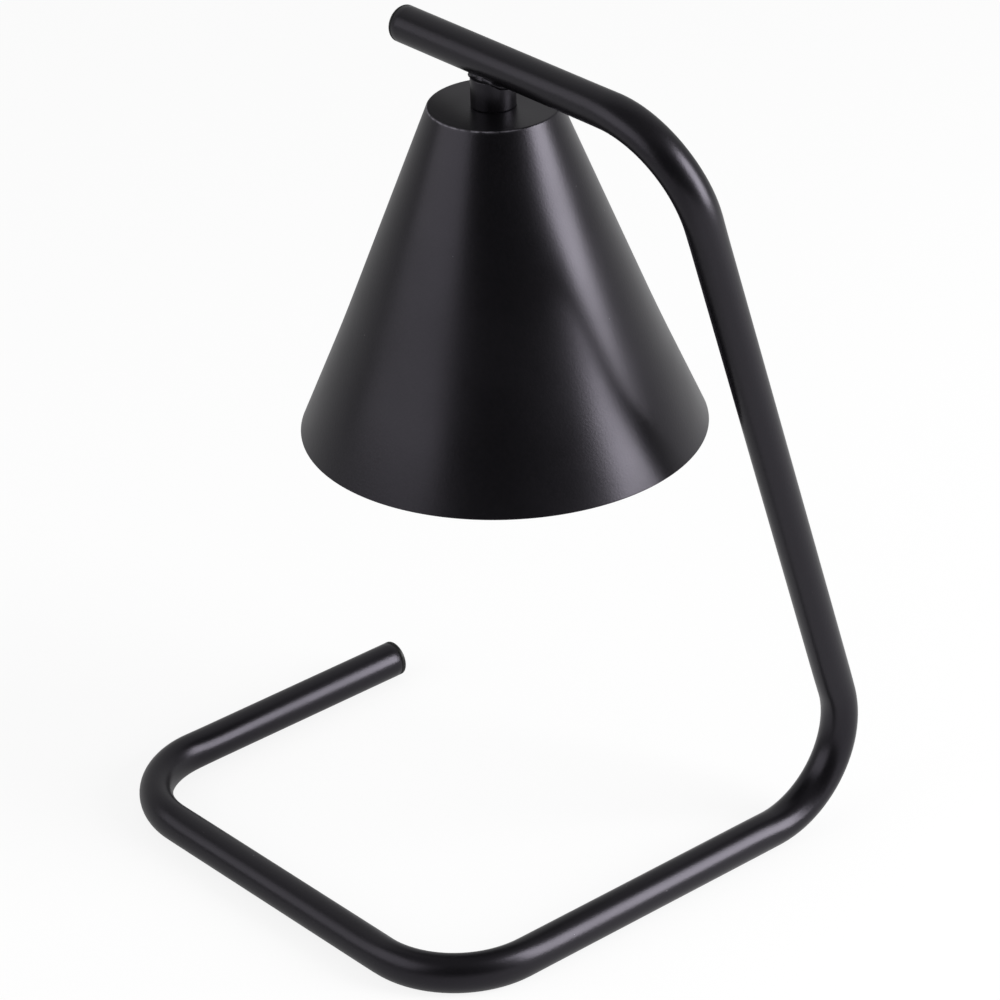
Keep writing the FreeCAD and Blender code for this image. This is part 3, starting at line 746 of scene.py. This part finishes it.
# %% Slotted screws
def pair_tree():
    tree, given = new_rule("pair", {
        "Piece": "Geometry", "Spacing": "Vector", "Middle": "Vector", "Material": "Material",
    })
    offset = add(tree, "ShaderNodeVectorMath", {
        0: given["Spacing"], "Scale": -0.5,
    }, "Vector", operation="SCALE")
    start = add(tree, "ShaderNodeVectorMath", {0: given["Middle"], 1: offset}, "Vector", operation="ADD")
    spots = add(tree, "GeometryNodeMeshLine", {
        "Count": 2, "Start Location": start, "Offset": given["Spacing"],
    }, "Mesh", mode="OFFSET", count_mode="TOTAL")
    copies = add(tree, "GeometryNodeInstanceOnPoints", {
        "Points": spots, "Instance": given["Piece"],
    }, "Instances")
    return end_rule(tree, copies, given["Material"])


def slotted_screw():
    """One countersunk M3 screw on the Z axis, head down."""
    head_z, shank_z, tip_z = 253.1, 254.4, 273.1
    head_r, head_edge = 2.8, 0.15
    neck_r, neck_round = 1.35, 0.1
    thread_r, pitch, runout = 1.5, 0.5, 0.2
    slot_size = Vector((8.0, 0.8, 1.6)) * MM
    head = [(0, head_z, 0), (head_r, head_z, head_edge), (neck_r, shank_z, neck_round)]
    shank = list(reversed(thread(thread_r, pitch, shank_z + runout, tip_z)))
    mesh = spun(head + shank + [(0, tip_z, 0)], False, zinc, steps=40, corner_steps=2)
    cutter = bpy.data.meshes.new("slot")
    slot = bmesh.new()
    bmesh.ops.create_cube(slot, size=1.0)
    slot.to_mesh(cutter)
    cutter.transform(Matrix.Translation((0, 0, head_z * MM)) @ Matrix.Diagonal((*slot_size, 1)))
    slot.free()
    tool = bpy.data.objects.new("slot", cutter)
    bpy.context.scene.collection.objects.link(tool)
    cut = evaluated_mesh(mesh, more=[
        ("BOOLEAN", {"object": tool, "operation": "DIFFERENCE", "solver": "EXACT"}),
    ])
    bpy.data.objects.remove(tool)
    return cut


SCREW_SPACING = 17.6
screws = evaluated_mesh(slotted_screw(), pair_tree(), {
    "Spacing": (SCREW_SPACING * MM, 0, 0), "Middle": (0, AXIS_Y * MM, 0), "Material": zinc,
})
dress(link_piece("screws_slotted", screws, [zinc], sharp_above=20), "holder_screws", "lamp")

# %% [markdown]
# The lampholder is steatite, a soapstone ceramic pressed dry and fired: cream white, dense, slightly chalky,
# with fine specks where iron burnt out. The reflector lamp's foot is the same stuff. The springs and the
# lamp's pins are nickel plated, and so brighter and warmer than zinc.

# %% Steatite, nickel, nylon and silicone
def fired_steatite():
    material, finish = new_finish("fired_steatite", {"IOR": 1.55})
    body = drift(finish, "Base Color", "#e7e1d3", "#dad3c3", size_mm=5)
    sprinkle(finish, body, "#8d7f6a", spacing_mm=1.8, speck_mm=0.16, share=0.35)
    drift(finish, "Roughness", 0.5, 0.68, size_mm=2.5)
    relief(finish, size_mm=0.45, depth_mm=0.03, strength=0.35)
    return material


def nickel_plate():
    material, finish = new_finish("nickel_plated_brass", {"Metallic": 1.0})
    drift(finish, "Base Color", "#cbc4b4", "#b5ad9c", size_mm=2.5)
    drift(finish, "Roughness", 0.16, 0.32, size_mm=1.2)
    relief(finish, size_mm=0.5, depth_mm=0.008)
    return material


def natural_nylon():
    material, finish = new_finish("natural_nylon", {"IOR": 1.53, "Transmission Weight": 0.25})
    drift(finish, "Base Color", "#ece9dd", "#ded9c6", size_mm=3)
    drift(finish, "Roughness", 0.3, 0.45, size_mm=1.5)
    relief(finish, size_mm=0.5, depth_mm=0.015)
    return material


def silicone_sleeve():
    material, finish = new_finish("silicone_sleeve", {"IOR": 1.42})
    drift(finish, "Base Color", "#d9d5c9", "#c9c4b6", size_mm=4)
    drift(finish, "Roughness", 0.45, 0.62, size_mm=2)
    relief(finish, size_mm=0.4, depth_mm=0.02, strength=0.35)
    return material


steatite = fired_steatite()
nickel = nickel_plate()
nylon = natural_nylon()
silicone = silicone_sleeve()
for node, name, material, slot in (
    ("holder_body", "holder_front", steatite, "white_steatite"),
    ("holder_cap", "holder_back", steatite, "white_steatite"),
    ("holder_contacts", "contact_springs", nickel, "nickel_plate"),
    ("nipple_bushes", "bushes_nylon", nylon, "clear_nylon"),
    ("lead_live", "wire_live", silicone, "silicone"),
    ("lead_neutral", "wire_neutral", silicone, "silicone"),
):
    smooth_copy(node, name, material, "lamp")

# %% [markdown]
# The leads end in the arm, in two crimped sleeves of tinned copper, where the supply would join. A crimping
# tool leaves a row of dents, which the bump repeats at its 3 mm pitch.

# %% Crimped splices
def tinned_copper():
    material, finish = new_finish("tinned_copper", {"Metallic": 1.0})
    drift(finish, "Base Color", "#bdbdbb", "#a8a6a0", size_mm=2)
    drift(finish, "Roughness", 0.28, 0.45, size_mm=1)
    relief(finish, size_mm=3.0, depth_mm=0.12, strength=0.4, stretch=(1, 0.2, 0.2))
    return material


smooth_copy("lead_splices", "splices_crimped", tinned_copper(), "lamp")

# %% [markdown]
# The lamp itself: a pressed glass bell, silvered inside. Its inner wall is pressed in small flat facets, so
# that each throws its own patch of light and the spot is even. Spinning it in 44 steps with ten rows gives
# those facets as real faces, which stay flat because every edge between them counts as sharp.

# %% Reflector
BULB_Z = 251.6
BELL_NECK_R = 7.5
BELL_WALL = 1.6
FACETS_ROUND = 44
FACET_ROWS = 10


def silvered_glass():
    material, finish = new_finish("silvered_glass", {"Metallic": 1.0})
    drift(finish, "Base Color", "#dfe2e6", "#d2d3d2", size_mm=6)
    drift(finish, "Roughness", 0.06, 0.12, size_mm=4)
    relief(finish, size_mm=2.5, depth_mm=0.01, strength=0.1)
    return material


def arc_points(start, middle, end, steps):
    """Points of the circle's arc through three (radius, height) points."""
    (x1, y1), (x2, y2), (x3, y3) = start, middle, end
    double = 2 * (x1 * (y2 - y3) + x2 * (y3 - y1) + x3 * (y1 - y2))
    squares = [x * x + y * y for x, y in (start, middle, end)]
    cx = (squares[0] * (y2 - y3) + squares[1] * (y3 - y1) + squares[2] * (y1 - y2)) / double
    cy = (squares[0] * (x3 - x2) + squares[1] * (x1 - x3) + squares[2] * (x2 - x1)) / double
    r = math.hypot(x1 - cx, y1 - cy)
    first, last = (math.atan2(y - cy, x - cx) for x, y in (start, end))
    angles = [first + (last - first) * k / steps for k in range(steps + 1)]
    return [(cx + r * math.cos(a), cy + r * math.sin(a), 0) for a in angles]


def bell_curve(inset):
    """The bell's neck, crown and rim, drawn in by the wall where inset is positive."""
    top, rim_r, bell_height = BULB_Z - 14.0, 24.8, 30.5
    crown_r, crown_drop, slanted = 19.0, 9.5, 0.7
    return [
        (BELL_NECK_R - inset, top - inset / 2),
        (crown_r - slanted * inset, top - crown_drop - slanted * inset),
        (rim_r - inset, top - bell_height),
    ]


def reflector_section():
    neck_top, neck_edge = BULB_Z - 6.0, 0.3
    outside = arc_points(*bell_curve(0), FACET_ROWS)
    inside = arc_points(*bell_curve(BELL_WALL), FACET_ROWS)
    neck_out, neck_in = (BELL_NECK_R, neck_top, neck_edge), (BELL_NECK_R - BELL_WALL, neck_top, neck_edge)
    return [neck_out] + outside + list(reversed(inside)) + [neck_in]


silvered = silvered_glass()
bell = on_axis(spun(reflector_section(), True, silvered, steps=FACETS_ROUND, corner_steps=3))
bell = link_piece("reflector_faceted", bell, [silvered], sharp_above=1)
dress(bell, "bulb_reflector", "bulb")

# %% [markdown]
# The front glass, the quartz capsule and its pinched foot are clear. Glass is all transmission, with the
# index of its kind and a surface that was fire polished, so its roughness is near nothing but not even.

# %% Clear glass
def clear_glass(name, index, low, high):
    material, finish = new_finish(name, {"IOR": index, "Transmission Weight": 1.0})
    drift(finish, "Base Color", low, high, size_mm=8)
    drift(finish, "Roughness", 0.0, 0.025, size_mm=5)
    relief(finish, size_mm=4, depth_mm=0.02, strength=0.12)
    return material


front_glass = clear_glass("front_glass", 1.5, "#f4f8f8", "#eef5f4")
quartz = clear_glass("quartz_glass", 1.46, "#fbfbfb", "#f3f4f5")
for node, name, material, slot in (
    ("bulb_lens", "lens_front", front_glass, "clear_glass"),
    ("bulb_capsule", "capsule_quartz", quartz, "clear_glass"),
    ("bulb_pinch", "pinch_quartz", quartz, "clear_glass"),
    ("bulb_base", "lamp_foot", steatite, "white_steatite"),
    ("bulb_pins", "lamp_pins", nickel, "nickel_plate"),
):
    smooth_copy(node, name, material, "bulb")

# %% [markdown]
# The filament is tungsten wire, wound in a tight coil and held on two legs. The tree joins a spiral and the
# legs, which come in as lines, and sweeps one thin circle along all of it.

# %% Filament
def filament_tree():
    turn_points, wire_sides = 16, 8
    tree, given = new_rule("filament", {
        "Legs": "Geometry", "Turns": "Float", "Coil radius": "Float", "Length": "Float", "Bottom": "Vector",
        "Wire radius": "Float", "Material": "Material",
    })
    spiral = add(tree, "GeometryNodeCurveSpiral", {
        "Resolution": turn_points, "Rotations": given["Turns"], "Start Radius": given["Coil radius"],
        "End Radius": given["Coil radius"], "Height": given["Length"],
    }, "Curve")
    spiral = add(tree, "GeometryNodeTransform", {
        "Geometry": spiral, "Translation": given["Bottom"],
    }, "Geometry")
    legs = add(tree, "GeometryNodeMeshToCurve", {"Mesh": given["Legs"]}, "Curve")
    wires = add(tree, "GeometryNodeJoinGeometry", {"Geometry": spiral})
    tree.links.new(legs, wires.inputs["Geometry"])
    ring = add(tree, "GeometryNodeCurvePrimitiveCircle", {
        "Resolution": wire_sides, "Radius": given["Wire radius"],
    }, "Curve", mode="RADIUS")
    wire = add(tree, "GeometryNodeCurveToMesh", {
        "Curve": wires.outputs["Geometry"], "Profile Curve": ring, "Fill Caps": True,
    }, "Mesh")
    return end_rule(tree, wire, given["Material"])


def drawn_tungsten():
    material, finish = new_finish("drawn_tungsten", {"Metallic": 1.0})
    drift(finish, "Base Color", "#6f6e70", "#56565a", size_mm=1)
    drift(finish, "Roughness", 0.3, 0.45, size_mm=0.6)
    relief(finish, size_mm=0.2, depth_mm=0.006)
    return material


COIL_R, COIL_LENGTH, COIL_TURNS = 0.55, 7.9, 16.0
COIL_BOTTOM, PINCH_Z = 222.3, 238.5
LONG_LEG_X, UPPER_LEG_RISE = 1.2, 0.6
WIRE_R = 0.14
coil_top = COIL_BOTTOM + COIL_LENGTH
legs = seed_line([
    (LONG_LEG_X, AXIS_Y, PINCH_Z), (LONG_LEG_X, AXIS_Y, COIL_BOTTOM), (COIL_R, AXIS_Y, COIL_BOTTOM),
])
upper_leg = seed_line([
    (COIL_R, AXIS_Y, coil_top), (0.0, AXIS_Y, coil_top + UPPER_LEG_RISE), (0.0, AXIS_Y, PINCH_Z),
])
both = bmesh.new()
both.from_mesh(legs)
both.from_mesh(upper_leg)
both.to_mesh(legs)
both.free()
tungsten = drawn_tungsten()
coil = evaluated_mesh(legs, filament_tree(), {
    "Turns": COIL_TURNS, "Coil radius": COIL_R * MM, "Length": COIL_LENGTH * MM,
    "Bottom": (0, AXIS_Y * MM, COIL_BOTTOM * MM), "Wire radius": WIRE_R * MM, "Material": tungsten,
})
dress(link_piece("filament_coiled", coil, [tungsten], sharp_above=60), "bulb_filament", "bulb")

# %% [markdown]
# The table and the backdrop are one pale sheet. The photograph was taken on white and cut out, so the sheet
# shows white to the camera and keeps a little of the lamp's shadow. What the coat mirrors of it is greyer
# on the left, where the table was darker, and brighter towards the softbox on the right. From underneath the
# sheet is clear, so that the lamp can be looked at from below.

# %% Table and backdrop
SEEN_SHARE = 0.85
TO_RIGHT = (0.64, 0.77, 0.0)
GREY_EDGE, BRIGHT_EDGE = -0.12, 0.12
GREY_LEVEL, BRIGHT_LEVEL = 0.42, 0.7


def white_sheet():
    material = bpy.data.materials.new("white_sheet")
    material.use_nodes = True
    tree = material.node_tree
    tree.nodes.clear()
    paths = add(tree, "ShaderNodeLightPath").outputs
    seen = paths["Is Camera Ray"]
    for ray in ("Is Glossy Ray", "Is Transmission Ray"):
        seen = add(tree, "ShaderNodeMath", {0: seen, 1: paths[ray]}, "Value", operation="MAXIMUM")
    share = add(tree, "ShaderNodeMath", {0: seen, 1: SEEN_SHARE}, "Value", operation="MULTIPLY")
    place = add(tree, "ShaderNodeTexCoord", out="Object")
    to_right = add(tree, "ShaderNodeVectorMath", {0: place, 1: TO_RIGHT}, "Value", operation="DOT_PRODUCT")
    mirrored = add(tree, "ShaderNodeMapRange", {
        "Value": to_right, "From Min": GREY_EDGE, "From Max": BRIGHT_EDGE, "To Min": GREY_LEVEL,
        "To Max": BRIGHT_LEVEL,
    }, "Result", interpolation_type="SMOOTHSTEP")
    strength = add(tree, "ShaderNodeMix", {
        "Factor": paths["Is Glossy Ray"], "A": 1.0, "B": mirrored,
    }, "Result")
    matt = add(tree, "ShaderNodeBsdfDiffuse", {"Color": linear("#f4f4f4")}, "BSDF")
    bright = add(tree, "ShaderNodeEmission", {
        "Color": linear("#ffffff"), "Strength": strength,
    }, "Emission")
    above = add(tree, "ShaderNodeMixShader", {0: share, 1: matt, 2: bright}, "Shader")
    below = add(tree, "ShaderNodeBsdfTransparent", out="BSDF")
    underside = add(tree, "ShaderNodeNewGeometry", out="Backfacing")
    mixed = add(tree, "ShaderNodeMixShader", {0: underside, 1: above, 2: below}, "Shader")
    add(tree, "ShaderNodeOutputMaterial", {"Surface": mixed})
    return material


reach = 6.0
sheet_corners = [(-reach, -reach, 0), (reach, -reach, 0), (reach, reach, 0), (-reach, reach, 0)]
floor_mesh = bpy.data.meshes.new("table_sheet")
floor_mesh.from_pydata(sheet_corners, [], [(0, 1, 2, 3)])
floor_mesh.materials.append(white_sheet())
floor = bpy.data.objects.new("table_sheet", floor_mesh)
bpy.context.scene.collection.objects.link(floor)
print("sheet", reach * 2, "m wide")

# %% [markdown]
# The coat is a dark mirror, so the light is judged by what it mirrors. The photograph's sheens were read off
# the cone and the tubes: a tall softbox far to the right, a weaker one low on the left, a grey wall behind,
# a little light from above and a dark room in front. The world gives the last three to glossy rays alone.

# %% World and softboxes
TO_WALL = (-0.766, 0.643, 0.0)
DARK_ROOM, WALL_LEVEL = 0.03, 0.42
CEILING_LEVEL, ROOM_LIGHT = 0.16, 0.5
AIM = (0, 0.02, 0.22)


def studio_world():
    world = bpy.data.worlds.new("studio")
    world.use_nodes = True
    tree = world.node_tree
    tree.nodes.clear()
    paths = add(tree, "ShaderNodeLightPath").outputs
    way = add(tree, "ShaderNodeTexCoord", out="Generated")
    behind = add(tree, "ShaderNodeVectorMath", {0: way, 1: TO_WALL}, "Value", operation="DOT_PRODUCT")
    wall = add(tree, "ShaderNodeMapRange", {
        "Value": behind, "From Min": 0.0, "From Max": 0.6, "To Min": DARK_ROOM, "To Max": WALL_LEVEL,
    }, "Result", interpolation_type="SMOOTHSTEP")
    height = add(tree, "ShaderNodeSeparateXYZ", {"Vector": way}, "Z")
    ceiling = add(tree, "ShaderNodeMapRange", {
        "Value": height, "From Min": 0.45, "From Max": 0.9, "To Min": 0.0, "To Max": CEILING_LEVEL,
    }, "Result", interpolation_type="SMOOTHSTEP")
    mirrored = add(tree, "ShaderNodeMath", {0: wall, 1: ceiling}, "Value", operation="MAXIMUM")
    seen = add(tree, "ShaderNodeMath", {
        0: paths["Is Camera Ray"], 1: paths["Is Transmission Ray"],
    }, "Value", operation="MAXIMUM")
    level = add(tree, "ShaderNodeMapRange", {"Value": seen, "To Min": ROOM_LIGHT, "To Max": 1.0}, "Result")
    level = add(tree, "ShaderNodeMix", {
        "Factor": paths["Is Glossy Ray"], "A": level, "B": mirrored,
    }, "Result")
    sky = add(tree, "ShaderNodeBackground", {"Color": (1, 1, 1, 1), "Strength": level}, "Background")
    add(tree, "ShaderNodeOutputWorld", {"Surface": sky})
    return world


def soft_lamp(name, place, width, height, power):
    """A softbox: an area lamp that faces the middle of the lamp on the table."""
    data = bpy.data.lights.new(name, "AREA")
    data.shape = "RECTANGLE"
    data.size = width
    data.size_y = height
    data.energy = power
    lamp = bpy.data.objects.new(name, data)
    bpy.context.scene.collection.objects.link(lamp)
    lamp.location = place
    lamp.visible_camera = False
    lamp.rotation_euler = (Vector(AIM) - Vector(place)).to_track_quat("-Z", "Y").to_euler()
    print(name, power, "W")


bpy.context.scene.world = studio_world()
soft_lamp("softbox_left", (-0.5, -1.36, 0.84), width=1.8, height=1.15, power=9.5)
soft_lamp("softbox_right", (1.235, 0.85, 0.82), width=0.8, height=1.3, power=32)
bpy.context.scene.view_settings.view_transform = "Standard"
